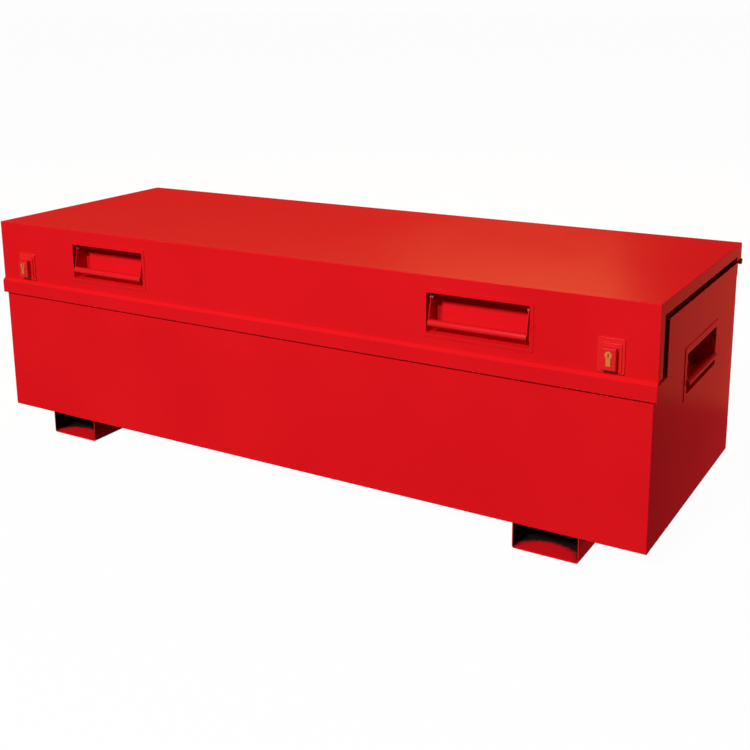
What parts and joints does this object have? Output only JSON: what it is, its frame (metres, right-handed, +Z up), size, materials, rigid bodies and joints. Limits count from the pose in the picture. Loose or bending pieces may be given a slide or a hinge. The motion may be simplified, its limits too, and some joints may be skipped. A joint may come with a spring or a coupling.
{
  "type": "jobsite storage box",
  "caption": "Long red steel site box with a hinged lid whose deep front apron carries key locks and sunk drop handles, standing on fork channels.",
  "frame": {"origin": "on the ground, in the middle of the overall box", "axes": "+X along the box to its right end as seen from the front, +Y to the back, +Z up"},
  "size_m": [2, 0.748, 0.64],
  "materials": {
    "red_powder_coat": "semi-gloss",
    "black_rubber": "matte",
    "brass": "satin",
    "zinc_plated_steel": "satin",
    "black_enamel": "satin",
    "polished_rod": "polished"
  },
  "bodies": {
    "chest": {"floor_panel": "red_powder_coat", "front_panel": "red_powder_coat", "hinge_body_leaf": "red_powder_coat", "hinge_pin": "zinc_plated_steel", "left_end_handle_pan": "red_powder_coat", "left_end_handle_pins": "zinc_plated_steel", "left_end_panel": "red_powder_coat", "left_fork_channel": "red_powder_coat", "left_lock_keeper": "zinc_plated_steel", "left_rim_channel": "red_powder_coat", "left_rim_seal": "black_rubber", "left_strut_lower_bracket": "zinc_plated_steel", "rear_panel": "red_powder_coat", "right_end_handle_pan": "red_powder_coat", "right_end_handle_pins": "zinc_plated_steel", "right_end_panel": "red_powder_coat", "right_fork_channel": "red_powder_coat", "right_lock_keeper": "zinc_plated_steel", "right_rim_channel": "red_powder_coat", "right_rim_seal": "black_rubber", "right_strut_lower_bracket": "zinc_plated_steel"},
    "lid": {"lid_shell": "red_powder_coat", "lid_front_rib": "red_powder_coat", "lid_rear_rib": "red_powder_coat", "hinge_lid_leaf": "red_powder_coat", "lid_left_handle_pan": "red_powder_coat", "lid_left_handle_pins": "zinc_plated_steel", "left_lock_plate": "red_powder_coat", "left_lock_box": "red_powder_coat", "left_lock_cylinder": "brass", "left_strut_upper_bracket": "zinc_plated_steel", "lid_right_handle_pan": "red_powder_coat", "lid_right_handle_pins": "zinc_plated_steel", "right_lock_plate": "red_powder_coat", "right_lock_box": "red_powder_coat", "right_lock_cylinder": "brass", "right_strut_upper_bracket": "zinc_plated_steel"},
    "left_lock_core": {"left_lock_plug": "brass", "left_lock_tongue": "zinc_plated_steel", "left_lock_nut": "zinc_plated_steel"},
    "lid_left_handle": {"lid_left_handle_bail": "red_powder_coat"},
    "left_end_handle": {"left_end_handle_bail": "red_powder_coat"},
    "left_strut_tube": {"left_strut_tube": "black_enamel"},
    "left_strut_rod": {"left_strut_rod": "polished_rod"},
    "right_lock_core": {"right_lock_plug": "brass", "right_lock_tongue": "zinc_plated_steel", "right_lock_nut": "zinc_plated_steel"},
    "lid_right_handle": {"lid_right_handle_bail": "red_powder_coat"},
    "right_end_handle": {"right_end_handle_bail": "red_powder_coat"},
    "right_strut_tube": {"right_strut_tube": "black_enamel"},
    "right_strut_rod": {"right_strut_rod": "polished_rod"}
  },
  "joints": [
    {"name": "lid_hinge", "type": "hinge", "parent": "chest", "child": "lid", "pos_m": [0, 0.366, 0.588], "axis": [-1, 0, 0], "range_deg": [0, 85]},
    {"name": "left_lock_turn", "type": "hinge", "parent": "lid", "child": "left_lock_core", "pos_m": [-0.895, -0.352, 0.518], "axis": [0, -1, 0], "range_deg": [0, 90]},
    {"name": "lid_left_handle_swing", "type": "hinge", "parent": "lid", "child": "lid_left_handle", "pos_m": [-0.574, -0.335, 0.5835], "axis": [-1, 0, 0], "range_deg": [0, 85]},
    {"name": "left_end_handle_swing", "type": "hinge", "parent": "chest", "child": "left_end_handle", "pos_m": [-0.975, 0.03247, 0.4455], "axis": [0, 1, 0], "range_deg": [0, 85]},
    {"name": "left_strut_tube_swing", "type": "hinge", "parent": "chest", "child": "left_strut_tube", "pos_m": [-0.942, 0.29437, 0.37999], "axis": [-1, 0, 0], "range_deg": [0, 42.5]},
    {"name": "left_strut_rod_swing", "type": "hinge", "parent": "lid", "child": "left_strut_rod", "pos_m": [-0.942, 0.14684, 0.60717], "axis": [-1, 0, 0], "range_deg": [-42.5, 0]},
    {"name": "right_lock_turn", "type": "hinge", "parent": "lid", "child": "right_lock_core", "pos_m": [0.895, -0.352, 0.518], "axis": [0, 1, 0], "range_deg": [0, 90]},
    {"name": "lid_right_handle_swing", "type": "hinge", "parent": "lid", "child": "lid_right_handle", "pos_m": [0.574, -0.335, 0.5835], "axis": [-1, 0, 0], "range_deg": [0, 85]},
    {"name": "right_end_handle_swing", "type": "hinge", "parent": "chest", "child": "right_end_handle", "pos_m": [0.975, 0.03247, 0.4455], "axis": [0, -1, 0], "range_deg": [0, 85]},
    {"name": "right_strut_tube_swing", "type": "hinge", "parent": "chest", "child": "right_strut_tube", "pos_m": [0.942, 0.29437, 0.37999], "axis": [-1, 0, 0], "range_deg": [0, 42.5]},
    {"name": "right_strut_rod_swing", "type": "hinge", "parent": "lid", "child": "right_strut_rod", "pos_m": [0.942, 0.14684, 0.60717], "axis": [-1, 0, 0], "range_deg": [-42.5, 0]}
  ],
  "couplings": [
    {"joint": "left_strut_tube_swing", "follows": "lid_hinge", "ratio": 0.5},
    {"joint": "left_strut_rod_swing", "follows": "lid_hinge", "ratio": -0.5},
    {"joint": "right_strut_tube_swing", "follows": "lid_hinge", "ratio": 0.5},
    {"joint": "right_strut_rod_swing", "follows": "lid_hinge", "ratio": -0.5}
  ]
}
